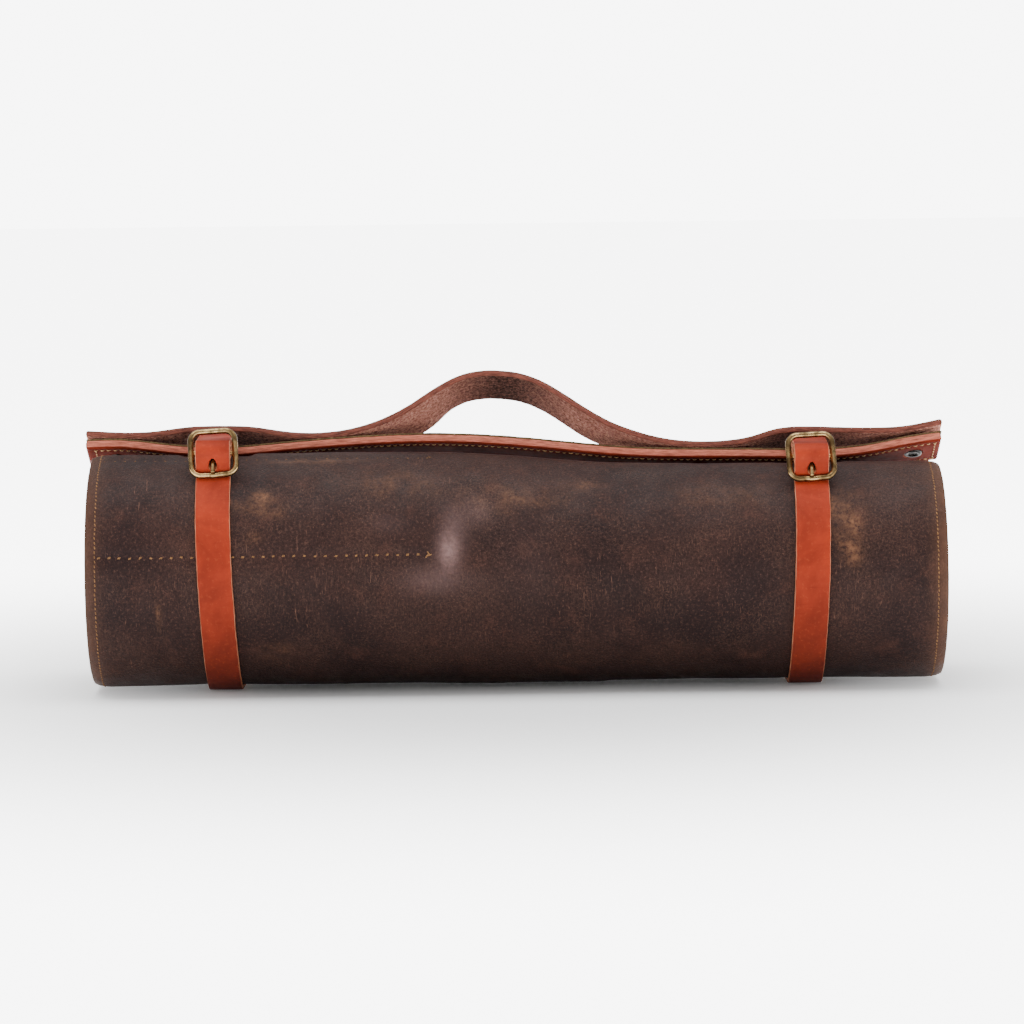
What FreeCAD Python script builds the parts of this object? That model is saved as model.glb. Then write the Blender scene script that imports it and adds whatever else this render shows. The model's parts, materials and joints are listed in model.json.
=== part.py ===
"""Roll-up leather pencil and brush case with a strapped-on carrier handle.

Millimetres, +X along the roll, -Y is the front with the buckles, +Z up, z = 0 is the floor.
The roll's axis is parallel to X at y = 0. Angles round the roll are measured from straight up and are
positive towards the front.
"""
import FreeCAD, Part
import cmath
import math
import os

from FreeCAD import Vector

# ---- driving dimensions ----
ROLL_LENGTH = 400.0
ROLL_RADIUS = 54.5        # over the filled pockets, at the left
SLIMMER = 3.1             # how much less the radius is at the right, past the pockets
SLIM_FROM, SLIM_TO = -40.0, 50.0
SHEET_T = 2.0
SHEET_TURNS = 2.45
FREE_EDGE_ANGLE = -75.0
OVERLAP_STEP = 2.4        # how far the sheet sits in where it passes under its own free edge
TURN_PITCH = 13.0         # spacing of the turns where the pockets hold something
SEAT_DEPTH = 3.4          # hollow that the carrier presses into the roll, and what is left of it at the right
SLIM_SEAT_DEPTH = 1.0
SEAT_SPREAD = 20.0        # degrees
FOOT_FLAT = 1.2           # how far the roll is flattened where it stands

PANEL_T = 1.5
PANEL_REACH = 158.0       # depth of the pockets along the roll
POCKET_ROOM = 7.5
POCKET_TAPER = 32.0       # length over which a pocket closes towards its sewn bottom
POCKET_SEAMS = [0.244, 0.424, 0.692, 0.95, 1.20, 1.45, 1.70, 1.95, 2.20, 2.42]   # turns from the free edge
FLAP_T = 1.4
FLAP_REACH = 145.0
FLAP_TURNS = (0.17, 2.40)
SEWN_GAP = 0.1

STRAP_W = 16.0
STRAP_T = 2.2
STRAP_GAP = 0.3           # strap to roll
LAYER_STEP = 2.5          # spacing of two strap layers
# Each strap's middle, the radius of its lower layer's centre over the carrier, and its buckle's centre bar,
# as a distance and an angle round the roll's own axis there.
STRAPS = {
    "left": {"x": -141.0, "tunnel": 61.3, "buckle": (65.1, 27.0)},
    "right": {"x": 138.0, "tunnel": 60.3, "buckle": (62.2, 25.7)},
}
TUNNEL_END_ANGLE = -44.5
TUNNEL_BEND_RADIUS = 6.0
TAIL_END_ANGLE = -70.0
HOLE_R = 1.8

BUCKLE_W = 23.4
BUCKLE_H = 24.0
BUCKLE_WIRE_R = 1.4
BUCKLE_CORNER_R = 3.4
BUCKLE_BAR_R = 1.3
BUCKLE_LEAN = 22.0        # of the frame's plane from vertical
PRONG_R = 1.1
PRONG_EYE_R = 2.45
PRONG_EYE_W = 3.0
PRONG_PLAY = 0.06
PRONG_LENGTH = 11.4

CARRIER_ANGLE = -26.0
CARRIER_W = 25.4
BASE_T = 4.0
LINING_T = 1.0
HANDLE_T = 3.0
# Heights are above the roll's axis at the left, square to the carrier's face.
# The base's underside is bowed in the middle and turned up at its ends.
BASE_LINE = [(-203, 57.6), (-188, 57.7), (-166, 55.0), (-150, 53.6), (-132, 53.4), (-112, 55.1), (-80, 57.5),
             (-42, 58.8), (-8, 57.2), (24, 53.8), (50, 51.0), (84, 49.6), (116, 49.1), (150, 48.9),
             (170, 51.1), (187, 54.5), (203, 56.9)]
# The handle strap's top face passes over the left strap, rises in the hand arch and sinks to the right one.
HANDLE_LINE = [(-203, 67.1), (-190, 66.2), (-172, 66.5), (-157, 68.4), (-141, 68.9), (-125, 68.2),
               (-109, 65.6), (-95, 64.8), (-82, 66.0), (-68, 69.8), (-54, 76.5), (-40, 86.0), (-29, 92.4),
               (-18, 95.6), (-8, 95.8), (2, 94.4), (14, 89.6), (28, 80.2), (43, 70.2), (57, 63.9),
               (71, 59.9), (87, 58.1), (103, 58.7), (113, 60.6), (122, 63.5), (129, 64.8), (138, 65.1),
               (152, 64.6), (170, 64.1), (184, 64.6), (194, 66.2), (203, 68.2)]
RIVET_X = [-190.0, -92.0, 88.0, 190.0]
RIVET_SHANK_R = 2.0
RIVET_HEAD_R = 4.4
RIVET_HEAD_T = 1.3
RIVET_SUNK = 0.9
RIVET_DIMPLE_R = 1.9

# ---- worked out ----
ROLL_END = ROLL_LENGTH / 2
AXIS_Z = ROLL_RADIUS + STRAP_GAP + STRAP_T - FOOT_FLAT
FOLD_R = BUCKLE_BAR_R + 0.1 + STRAP_T / 2
OVER_FOLD_R = FOLD_R + LAYER_STEP
BAR_PITCH = BUCKLE_H - 2 * BUCKLE_WIRE_R
FOOT_BEND_R = 30.0
BIG = 400.0


def smooth(u):
    """0 below u = 0, 1 above u = 1, and a smooth rise between them."""
    u = min(1.0, max(0.0, u))
    return u * u * (3 - 2 * u)


def slim(x):
    """How much less the roll's radius is at x. Its axis sinks as much, so that it all lies on the floor."""
    return SLIMMER * smooth((x - SLIM_FROM) / (SLIM_TO - SLIM_FROM))


def at(radius, angle, x):
    """Point (y, z) at that distance and angle round the roll's axis at x."""
    a = math.radians(angle)
    return -radius * math.sin(a), AXIS_Z - slim(x) + radius * math.cos(a)


def export(shape, node):
    if not shape.isValid():
        raise RuntimeError(f"{node} isn't valid")
    solids = shape.Solids
    shape = solids[0] if len(solids) == 1 else Part.makeCompound(solids)
    shape.exportStep(os.path.join("parts", node + ".step"))
    print(f"{node}: {len(solids)} solid, {sum(s.Volume for s in solids) / 1000:.2f} cm3")
    return shape


# ---- the roll: one sheet wound up, with a pocket panel and a flap sewn on its inner face ----

def sheet_radius(t, x):
    """Outer radius of the wound sheet at x, t turns in from its free edge."""
    angle = FREE_EDGE_ANGLE + 360.0 * t
    full = ROLL_RADIUS - slim(x)
    radius = full
    radius -= OVERLAP_STEP * smooth((t - 0.92) / 0.08)
    radius -= (TURN_PITCH - OVERLAP_STEP) * smooth((t - 1.0) / 0.3)
    radius -= TURN_PITCH * smooth((t - 2.0) / 0.25)
    if t < 1.0:
        off_seat = (angle - CARRIER_ANGLE) / SEAT_SPREAD
        depth = SEAT_DEPTH + (SLIM_SEAT_DEPTH - SEAT_DEPTH) * slim(x) / SLIMMER
        radius -= depth * math.exp(-off_seat * off_seat)
        off_foot = math.radians(angle - 180.0)
        if abs(off_foot) < math.pi / 3:
            radius = min(radius, (full - FOOT_FLAT) / math.cos(off_foot))
    return radius


def spiral(start, end, depth, x, step=0.0125):
    """Points along the wound sheet in the plane at x, at depth(t) inside its outer face."""
    count = max(2, round((end - start) / step))
    turns = [start + (end - start) * i / count for i in range(count + 1)]
    return [Vector(x, *at(sheet_radius(t, x) - depth(t), FREE_EDGE_ANGLE + 360.0 * t, x)) for t in turns]


def spiral_wire(start, end, depth, thickness, x):
    """Closed wire of a spiral band of that thickness in the plane at x."""
    outer = spiral(start, end, depth, x)
    inner = spiral(start, end, lambda t: depth(t) + thickness, x)
    curves = []
    for points in (outer, inner):
        curve = Part.BSplineCurve()
        curve.interpolate(points)
        curves.append(curve.toShape())
    ends = [Part.makeLine(outer[0], inner[0]), Part.makeLine(outer[-1], inner[-1])]
    return Part.Wire(Part.__sortEdges__([curves[0], ends[1], curves[1], ends[0]]))


def outer_sheet():
    stations = [-ROLL_END, SLIM_FROM, SLIM_TO, ROLL_END]
    wires = [spiral_wire(0.0, SHEET_TURNS, lambda t: 0.0, SHEET_T, x) for x in stations]
    return Part.makeLoft(wires, True, True)


def pocket_depth(room):
    """Depth of the panel's outer face below the sheet's: it bulges by room between two seams."""
    def depth(t):
        for low, high in zip(POCKET_SEAMS, POCKET_SEAMS[1:]):
            if low <= t <= high:
                share = (t - low) / (high - low)
                return SHEET_T + SEWN_GAP + room * math.sin(math.pi * share)
        return SHEET_T + SEWN_GAP
    return depth


def pocket_panel():
    start, end = POCKET_SEAMS[0], POCKET_SEAMS[-1]
    stations = [(0.0, 0.0), (POCKET_TAPER, POCKET_ROOM), (PANEL_REACH, POCKET_ROOM)]
    wires = [spiral_wire(start, end, pocket_depth(room), PANEL_T, x - ROLL_END) for x, room in stations]
    return Part.makeLoft(wires, True, True)


def flap():
    wire = spiral_wire(*FLAP_TURNS, lambda t: SHEET_T + SEWN_GAP, FLAP_T, ROLL_END - FLAP_REACH)
    return Part.Face(wire).extrude(Vector(FLAP_REACH, 0, 0))


# ---- straps: a band along a path of arcs round wheels and the tangents between them ----

def belt(start, wheels, end_angle):
    """Path from the point start, round each (centre, radius, turn) of wheels, to end_angle on the last one.

    Points are complex numbers front + 1j * up from the roll's axis there; turn is 1 for anticlockwise.
    Gives a list of (point, point) lines and (centre, radius, turn, angle, angle) arcs, angles in radians."""
    chain = [(start, 0.0, 1)] + wheels
    headings = []
    for (c1, r1, s1), (c2, r2, s2) in zip(chain, chain[1:]):
        gap, k = c2 - c1, s1 * r1 - s2 * r2
        run = math.sqrt(max(0.0, abs(gap) ** 2 - k * k))
        way = gap / (run - 1j * k)
        headings.append(way / abs(way))
    pieces = []
    for i, (centre, radius, turn) in enumerate(wheels):
        c1, r1, s1 = chain[i]
        leave = c1 + s1 * r1 * -1j * headings[i]
        meet = centre + turn * radius * -1j * headings[i]
        if abs(meet - leave) > 1e-4:
            pieces.append(("line", leave, meet))
        a0 = cmath.phase(meet - centre)
        if i + 1 < len(wheels):
            a1 = cmath.phase(turn * -1j * headings[i + 1])
        else:
            a1 = math.radians(90.0 - end_angle)
        sweep = (a1 - a0) * turn % (2 * math.pi)
        if sweep > 2 * math.pi - 1e-6:
            sweep = 0.0
        if sweep * radius > 1e-4:
            pieces.append(("arc", centre, radius, turn, a0, a0 + turn * sweep))
    return pieces


def point(p, x):
    return Vector(x, -p.real, AXIS_Z - slim(x) + p.imag)


def belt_side(pieces, shift, x):
    """Edges of the path moved sideways by shift, to its left, in the plane at x."""
    edges = []
    for piece in pieces:
        if piece[0] == "line":
            way = (piece[2] - piece[1]) / abs(piece[2] - piece[1])
            ends = [piece[1] + 1j * way * shift, piece[2] + 1j * way * shift]
            edges.append(Part.makeLine(point(ends[0], x), point(ends[1], x)))
        else:
            _, centre, radius, turn, a0, a1 = piece
            r = radius - turn * shift
            p = [centre + r * cmath.exp(1j * a) for a in (a0, (a0 + a1) / 2, a1)]
            edges.append(Part.Arc(*(point(q, x) for q in p)).toShape())
    return edges


def belt_band(pieces, thickness, width, x):
    """Solid band of that thickness along the path, width wide and centred on x."""
    x0 = x - width / 2
    left = belt_side(pieces, thickness / 2, x0)
    right = belt_side(pieces, -thickness / 2, x0)
    start = Part.makeLine(left[0].Vertexes[0].Point, right[0].Vertexes[0].Point)
    end = Part.makeLine(left[-1].Vertexes[1].Point, right[-1].Vertexes[1].Point)
    wire = Part.Wire(Part.__sortEdges__(left + right + [start, end]))
    return Part.Face(wire).extrude(Vector(width, 0, 0))


def buckle_points(side):
    """Centre bar and lower bar of a buckle, as front + 1j * up from the roll's axis."""
    distance, angle = STRAPS[side]["buckle"]
    centre = distance * cmath.exp(1j * math.radians(90.0 - angle))
    along = 1j * cmath.exp(1j * math.radians(BUCKLE_LEAN)) * BAR_PITCH / 2
    return centre, centre - along


def tunnel_bend(side):
    """Centre of the bend that takes a strap down from the carrier's back edge to the roll."""
    distance = STRAPS[side]["tunnel"] - TUNNEL_BEND_RADIUS
    return distance * cmath.exp(1j * math.radians(90.0 - TUNNEL_END_ANGLE))


def strap_path(side):
    centre, lower = buckle_points(side)
    tunnel, bend = STRAPS[side]["tunnel"], tunnel_bend(side)
    around = ROLL_RADIUS - slim(STRAPS[side]["x"]) + STRAP_GAP + STRAP_T / 2
    foot_r = around - FOOT_BEND_R
    foot_up = -(around - FOOT_FLAT - FOOT_BEND_R)
    foot_out = math.sqrt(foot_r ** 2 - foot_up ** 2)
    press = abs(lower) - around - 0.1
    start = complex(7.0, tunnel - LAYER_STEP - 0.1)
    return belt(start, [
        (centre, FOLD_R, 1),
        (0j, tunnel, 1),
        (bend, TUNNEL_BEND_RADIUS, 1),
        (0j, around, 1),
        (complex(-foot_out, foot_up), FOOT_BEND_R, 1),
        (complex(foot_out, foot_up), FOOT_BEND_R, 1),
        (0j, around, 1),
        (lower, press, -1),
        (centre, OVER_FOLD_R, 1),
        (0j, tunnel + LAYER_STEP, 1),
        (bend, TUNNEL_BEND_RADIUS + LAYER_STEP, 1),
    ], TAIL_END_ANGLE)


def prong_heading(side):
    """Direction from the centre bar to where the prong rests on the front of the lower bar."""
    centre, lower = buckle_points(side)
    down = lower - centre
    lift = math.asin((BUCKLE_WIRE_R + PRONG_R + 0.05) / abs(down))
    return down / abs(down) * cmath.exp(1j * lift)


def rod(centre, heading, start, end, radius, x, end_radius=None):
    """Round rod along heading from the centre point, between two distances from it."""
    base = point(centre + heading * start, x)
    way = Vector(0, -heading.real, heading.imag)
    if end_radius is None:
        return Part.makeCylinder(radius, end - start, base, way)
    return Part.makeCone(radius, end_radius, end - start, base, way)


def strap(side):
    x = STRAPS[side]["x"]
    band = belt_band(strap_path(side), STRAP_T, STRAP_W, x)
    centre, _ = buckle_points(side)
    eye_slot = Part.makeCylinder(FOLD_R + STRAP_T / 2 + 0.12, PRONG_EYE_W + 0.6,
                                 point(centre, x - PRONG_EYE_W / 2 - 0.3), Vector(1, 0, 0))
    band = band.cut(eye_slot)
    heading = prong_heading(side)
    near, far = OVER_FOLD_R - STRAP_T / 2 - 0.1, OVER_FOLD_R + 4.0
    for tilt in (-2.0, 6.0, 15.0):
        way = heading * cmath.exp(1j * math.radians(tilt))
        band = band.cut(rod(centre, way, near, far, PRONG_R + 0.45, x))
    tunnel, bend = STRAPS[side]["tunnel"], tunnel_bend(side)
    for middle, radius, angle in ((0j, tunnel, -36.0), (bend, TUNNEL_BEND_RADIUS, -58.0)):
        inner_r = radius + LAYER_STEP - STRAP_T / 2
        outward = cmath.exp(1j * math.radians(90.0 - angle))
        band = band.cut(rod(middle, outward, inner_r - 0.26, inner_r + STRAP_T + 3.0, HOLE_R, x))
    return band


# ---- buckles ----

def buckle_frame(side):
    """Rounded frame of round wire with a thinner centre bar, made flat and then leant into place."""
    half_w, half_h, r = BUCKLE_W / 2 - BUCKLE_WIRE_R, BAR_PITCH / 2, BUCKLE_CORNER_R
    edges = []
    corners = [(half_w, half_h, 0), (-half_w, half_h, 90), (-half_w, -half_h, 180), (half_w, -half_h, 270)]
    arcs = []
    for cx, cy, a in corners:
        c = Vector(cx - math.copysign(r, cx), cy - math.copysign(r, cy), 0)
        turns = [math.radians(a + d) for d in (0, 45, 90)]
        p = [c + Vector(r * math.cos(turn), r * math.sin(turn), 0) for turn in turns]
        arcs.append((Part.Arc(*p).toShape(), p[0], p[2]))
    for i, (arc, _, leave) in enumerate(arcs):
        edges += [arc, Part.makeLine(leave, arcs[(i + 1) % 4][1])]
    path = Part.Wire(Part.__sortEdges__(edges))
    section = Part.Wire(Part.Circle(Vector(half_w, 0, 0), Vector(0, 1, 0), BUCKLE_WIRE_R).toShape())
    ring = path.makePipeShell([section], True, True)
    bar = Part.makeCylinder(BUCKLE_BAR_R, 2 * half_w, Vector(-half_w, 0, 0), Vector(1, 0, 0))
    frame = ring.fuse(bar).removeSplitter()
    frame.rotate(Vector(0, 0, 0), Vector(1, 0, 0), 90.0 - BUCKLE_LEAN)
    frame.translate(point(buckle_points(side)[0], STRAPS[side]["x"]))
    return frame


def buckle_prong(side):
    x = STRAPS[side]["x"]
    centre, _ = buckle_points(side)
    heading = prong_heading(side)
    eye = Part.makeCylinder(PRONG_EYE_R, PRONG_EYE_W, point(centre, x - PRONG_EYE_W / 2), Vector(1, 0, 0))
    shank = rod(centre, heading, 0.0, PRONG_LENGTH, PRONG_R, x, 0.75)
    tip = Part.makeSphere(0.75, point(centre + heading * PRONG_LENGTH, x))
    bore = Part.makeCylinder(BUCKLE_BAR_R + PRONG_PLAY, 2 * PRONG_EYE_W,
                             point(centre, x - PRONG_EYE_W), Vector(1, 0, 0))
    return eye.fuse([shank, tip]).cut(bore)


# ---- carrier: base, lining and handle strap, riveted together ----

def line_curve(points, rise):
    curve = Part.BSplineCurve()
    curve.interpolate([Vector(x, -CARRIER_W / 2, h + rise) for x, h in points])
    return curve.toShape()


def layer(points, low, high):
    """A strip of the carrier between two heights above a line, as wide as the carrier and still upright."""
    lower, upper = line_curve(points, low), line_curve(points, high)
    caps = [Part.makeLine(lower.Vertexes[i].Point, upper.Vertexes[i].Point) for i in (0, 1)]
    wire = Part.Wire(Part.__sortEdges__([lower, caps[1], upper, caps[0]]))
    return Part.Face(wire).extrude(Vector(0, CARRIER_W, 0))


def height_at(strip, x, top):
    """Height of a strip's upper or lower face on its middle line at x."""
    probe = Part.makeLine(Vector(x, 0, 0), Vector(x, 0, BIG))
    heights = [v.Z for v in strip.common(probe).Vertexes]
    return max(heights) if top else min(heights)


def carrier():
    base = layer(BASE_LINE, 0.0, BASE_T)
    lining = layer(BASE_LINE, BASE_T, BASE_T + LINING_T)
    handle = layer(HANDLE_LINE, -HANDLE_T, 0.0)
    up = Vector(0, 0, 1)
    nodes = {}
    for number, x in enumerate(RIVET_X, 1):
        low = height_at(base, x, False)
        high = max(height_at(handle, x + d, True) for d in (-RIVET_HEAD_R, 0.0, RIVET_HEAD_R))
        hole = Part.makeCylinder(RIVET_SHANK_R + 0.02, high - low + 20, Vector(x, 0, low - 10), up)
        sink = Part.makeCylinder(RIVET_HEAD_R + 0.2, RIVET_SUNK + 10, Vector(x, 0, low - 10), up)
        base, lining, handle = base.cut([hole, sink]), lining.cut(hole), handle.cut(hole)
        floor = low + RIVET_SUNK
        head = Part.makeCylinder(RIVET_HEAD_R, RIVET_HEAD_T, Vector(x, 0, floor - RIVET_HEAD_T), up)
        dimple = Part.makeCylinder(RIVET_DIMPLE_R, 0.8, Vector(x, 0, floor - RIVET_HEAD_T), up)
        shank = Part.makeCylinder(RIVET_SHANK_R, high - floor + 0.3, Vector(x, 0, floor - 0.1), up)
        nodes[f"carrier_rivet_{number}"] = head.fuse(shank).cut(dimple)
        dome_r = (RIVET_HEAD_R ** 2 + RIVET_HEAD_T ** 2) / (2 * RIVET_HEAD_T)
        rest = high + 0.05
        dome = Part.makeSphere(dome_r, Vector(x, 0, rest + RIVET_HEAD_T - dome_r))
        above = Part.makeCylinder(RIVET_HEAD_R, 10, Vector(x, 0, rest), up)
        socket = Part.makeCylinder(RIVET_SHANK_R, 0.2, Vector(x, 0, rest - 0.05), up)
        nodes[f"carrier_rivet_cap_{number}"] = dome.common(above).cut(socket)
    nodes.update(carrier_base=base, carrier_lining=lining, handle_strap=handle)
    for shape in nodes.values():
        shape.rotate(Vector(0, 0, 0), Vector(1, 0, 0), CARRIER_ANGLE)
        shape.translate(Vector(0, 0, AXIS_Z))
    return nodes


def main():
    os.makedirs("parts", exist_ok=True)
    nodes = {
        "outer_sheet": outer_sheet(),
        "pocket_panel": pocket_panel(),
        "inner_flap": flap(),
    }
    nodes.update(carrier())
    for side in STRAPS:
        nodes[f"strap_{side}"] = strap(side)
        nodes[f"buckle_frame_{side}"] = buckle_frame(side)
        nodes[f"buckle_prong_{side}"] = buckle_prong(side)
    for node, shape in nodes.items():
        export(shape, node)
    return nodes


if __name__ == "__main__":
    main()
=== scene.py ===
"""Looks of the roll-up pencil and brush case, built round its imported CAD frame.

Lengths are in millimetres until a mesh is made, and MM turns them into Blender's metres. Angles round the
roll are in degrees from straight up, positive towards the buckles at the front. "Grain" is a hide's smooth
outer face and "flesh" its rough inner one.
"""

import cmath
import json
import math
import random

import bpy
import numpy as np
from mathutils import Matrix, Quaternion, Vector, noise


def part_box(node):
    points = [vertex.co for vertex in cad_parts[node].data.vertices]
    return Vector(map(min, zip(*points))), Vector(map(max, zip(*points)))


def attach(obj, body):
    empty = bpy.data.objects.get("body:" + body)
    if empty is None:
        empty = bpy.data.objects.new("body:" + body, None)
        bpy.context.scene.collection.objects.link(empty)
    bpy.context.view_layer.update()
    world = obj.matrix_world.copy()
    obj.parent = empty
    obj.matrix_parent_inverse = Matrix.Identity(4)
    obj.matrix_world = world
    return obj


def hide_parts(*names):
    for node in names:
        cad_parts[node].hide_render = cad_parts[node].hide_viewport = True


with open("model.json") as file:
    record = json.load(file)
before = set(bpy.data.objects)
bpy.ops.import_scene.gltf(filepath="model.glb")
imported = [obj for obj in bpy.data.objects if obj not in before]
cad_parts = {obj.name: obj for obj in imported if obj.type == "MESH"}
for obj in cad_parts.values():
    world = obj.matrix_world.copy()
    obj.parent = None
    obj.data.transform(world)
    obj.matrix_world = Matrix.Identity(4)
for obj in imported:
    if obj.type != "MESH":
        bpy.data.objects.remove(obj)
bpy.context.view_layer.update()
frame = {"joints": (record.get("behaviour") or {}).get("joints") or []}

MM = 0.001
JOINTS = {j["name"]: j for j in frame["joints"]}

# ---- sizes that the frame gives ----
AXIS_Z = JOINTS["carrier_shift"]["pos_m"][2] / MM
ROLL_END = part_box("outer_sheet")[1].x / MM
CARRIER_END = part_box("carrier_base")[1].x / MM
PANEL_X = [v.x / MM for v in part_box("pocket_panel")]
FLAP_X = [v.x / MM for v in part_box("inner_flap")]


def strap_middle(side):
    low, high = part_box(f"strap_{side}")
    return (low.x + high.x) / 2 / MM


def bar_centre(side):
    """The buckle's centre bar as front + 1j * up from the roll's axis there."""
    x, y, z = JOINTS[f"buckle_{side}_tilt"]["pos_m"]
    return complex(-y / MM, z / MM - AXIS_Z + slim(x / MM))


# ---- sizes that the CAD source sets too ----
ROLL_RADIUS = 54.5        # at the left, over the pockets
SLIMMER = 3.1             # how much less the radius is at the right
SLIM_FROM, SLIM_TO = -40.0, 50.0
SHEET_T = 2.0
SHEET_TURNS = 2.45
FREE_EDGE_ANGLE = -75.0
OVERLAP_STEP = 2.4
TURN_PITCH = 13.0
SEAT_DEPTH = 3.4
SLIM_SEAT_DEPTH = 1.0
SEAT_SPREAD = 20.0
FOOT_FLAT = 1.2
PANEL_T = 1.5
POCKET_ROOM = 7.5
POCKET_TAPER = 32.0
POCKET_SEAMS = [0.244, 0.424, 0.692, 0.95, 1.20, 1.45, 1.70, 1.95, 2.20, 2.42]
FLAP_T = 1.4
FLAP_TURNS = (0.17, 2.40)
SEWN_GAP = 0.1
STRAP_W = 16.0
STRAP_T = 2.2
STRAP_GAP = 0.3
LAYER_STEP = 2.5
TUNNEL_RADIUS = {"left": 61.3, "right": 60.3}
TUNNEL_END_ANGLE = -44.5
TUNNEL_BEND_RADIUS = 6.0
TAIL_END_ANGLE = -70.0
TAIL_HOLES = (-36.0, -58.0)
BUCKLE_W = 23.4
BUCKLE_H = 24.0
BUCKLE_WIRE_R = 1.4
BUCKLE_CORNER_R = 3.4
BUCKLE_BAR_R = 1.3
BUCKLE_LEAN = 22.0
PRONG_R = 1.1
PRONG_EYE_R = 2.45
PRONG_EYE_W = 3.0
PRONG_LENGTH = 11.4
CARRIER_ANGLE = -26.0
CARRIER_W = 25.4
BASE_T = 4.0
LINING_T = 1.0
HANDLE_T = 3.0
BASE_LINE = [(-203, 57.6), (-188, 57.7), (-166, 55.0), (-150, 53.6), (-132, 53.4), (-112, 55.1), (-80, 57.5),
             (-42, 58.8), (-8, 57.2), (24, 53.8), (50, 51.0), (84, 49.6), (116, 49.1), (150, 48.9),
             (170, 51.1), (187, 54.5), (203, 56.9)]
HANDLE_LINE = [(-203, 67.1), (-190, 66.2), (-172, 66.5), (-157, 68.4), (-141, 68.9), (-125, 68.2),
               (-109, 65.6), (-95, 64.8), (-82, 66.0), (-68, 69.8), (-54, 76.5), (-40, 86.0), (-29, 92.4),
               (-18, 95.6), (-8, 95.8), (2, 94.4), (14, 89.6), (28, 80.2), (43, 70.2), (57, 63.9),
               (71, 59.9), (87, 58.1), (103, 58.7), (113, 60.6), (122, 63.5), (129, 64.8), (138, 65.1),
               (152, 64.6), (170, 64.1), (184, 64.6), (194, 66.2), (203, 68.2)]
RIVET_X = [-190.0, -92.0, 88.0, 190.0]
RIVET_HEAD_R = 4.4
RIVET_HEAD_T = 1.3
RIVET_SUNK = 0.9

FOLD_R = BUCKLE_BAR_R + 0.1 + STRAP_T / 2
OVER_FOLD_R = FOLD_R + LAYER_STEP
BAR_PITCH = BUCKLE_H - 2 * BUCKLE_WIRE_R
FOOT_BEND_R = 30.0

rng = random.Random(7)


def smooth(u):
    u = np.clip(u, 0.0, 1.0)
    return u * u * (3 - 2 * u)


def slim(x):
    """How much less the roll's radius is at x. Its axis sinks as much."""
    return SLIMMER * smooth((np.asarray(x, float) - SLIM_FROM) / (SLIM_TO - SLIM_FROM))


def around(side):
    """Radius of a strap's middle where it lies on the roll."""
    return ROLL_RADIUS - float(slim(strap_middle(side))) + STRAP_GAP + STRAP_T / 2


def bell(distance, spread):
    """1 at distance 0, falling to 0 over about twice the spread."""
    return np.exp(-np.square(np.asarray(distance, float) / spread))


def wobble(points, scale, seed=0.0):
    """Smooth noise from -1 to 1 at each row of points, with features about scale across."""
    flat = np.asarray(points, float).reshape(-1, np.asarray(points).shape[-1]) / scale + seed
    if flat.shape[1] == 2:
        flat = np.column_stack([flat, np.full(len(flat), seed)])
    values = [noise.noise(Vector(p)) for p in flat]
    return np.array(values).reshape(np.asarray(points).shape[:-1])


# ---- meshes ----

def new_object(name, verts, faces, uvs=None, material_index=None, materials=()):
    """A mesh object from millimetre points. uvs has one pair for each corner of each face, in metres."""
    mesh = bpy.data.meshes.new(name)
    mesh.from_pydata((np.asarray(verts, float) * MM).tolist(), [], faces)
    if uvs is not None:
        layer = mesh.uv_layers.new(name="lay")
        layer.data.foreach_set("uv", np.asarray(uvs, np.float32).ravel())
    for material in materials:
        mesh.materials.append(material)
    if material_index is not None:
        mesh.polygons.foreach_set("material_index", np.asarray(material_index, np.int32))
    mesh.polygons.foreach_set("use_smooth", [True] * len(mesh.polygons))
    mesh.update()
    obj = bpy.data.objects.new(name, mesh)
    bpy.context.scene.collection.objects.link(obj)
    if signed_volume(mesh) < 0:
        mesh.flip_normals()
    return obj


def signed_volume(mesh):
    mesh.calc_loop_triangles()
    co = np.empty(len(mesh.vertices) * 3)
    mesh.vertices.foreach_get("co", co)
    tri = np.empty(len(mesh.loop_triangles) * 3, np.int32)
    mesh.loop_triangles.foreach_get("vertices", tri)
    a, b, c = co.reshape(-1, 3)[tri.reshape(-1, 3)].transpose(1, 0, 2)
    return float(np.einsum("ij,ij->i", a, np.cross(b, c)).sum())


def stands_for(obj, node, body):
    """obj is shown in place of a CAD node and rides its body."""
    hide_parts(node)
    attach(obj, body)


def paint(obj, name, values):
    """A number at each vertex, which the materials read."""
    layer = obj.data.attributes.new(name, "FLOAT", "POINT")
    layer.data.foreach_set("value", np.asarray(values, np.float32).ravel())


END_CLOSE = 0.55      # thickness left at a strip's rounded ends


def edge_profile(thickness, bevel, back_bevel):
    """(inset from the edge, depth) round one cut edge of a leather piece, from grain to flesh face."""
    points = []
    for angle in (0, 30, 60, 90):
        a = math.radians(angle)
        points.append((bevel * (1 - math.sin(a)), bevel * (1 - math.cos(a))))
    points.append((-0.04 * thickness, thickness / 2))
    for angle in (90, 45, 0):
        a = math.radians(angle)
        points.append((back_bevel * (1 - math.sin(a)), thickness - back_bevel * (1 - math.cos(a))))
    return points


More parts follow.
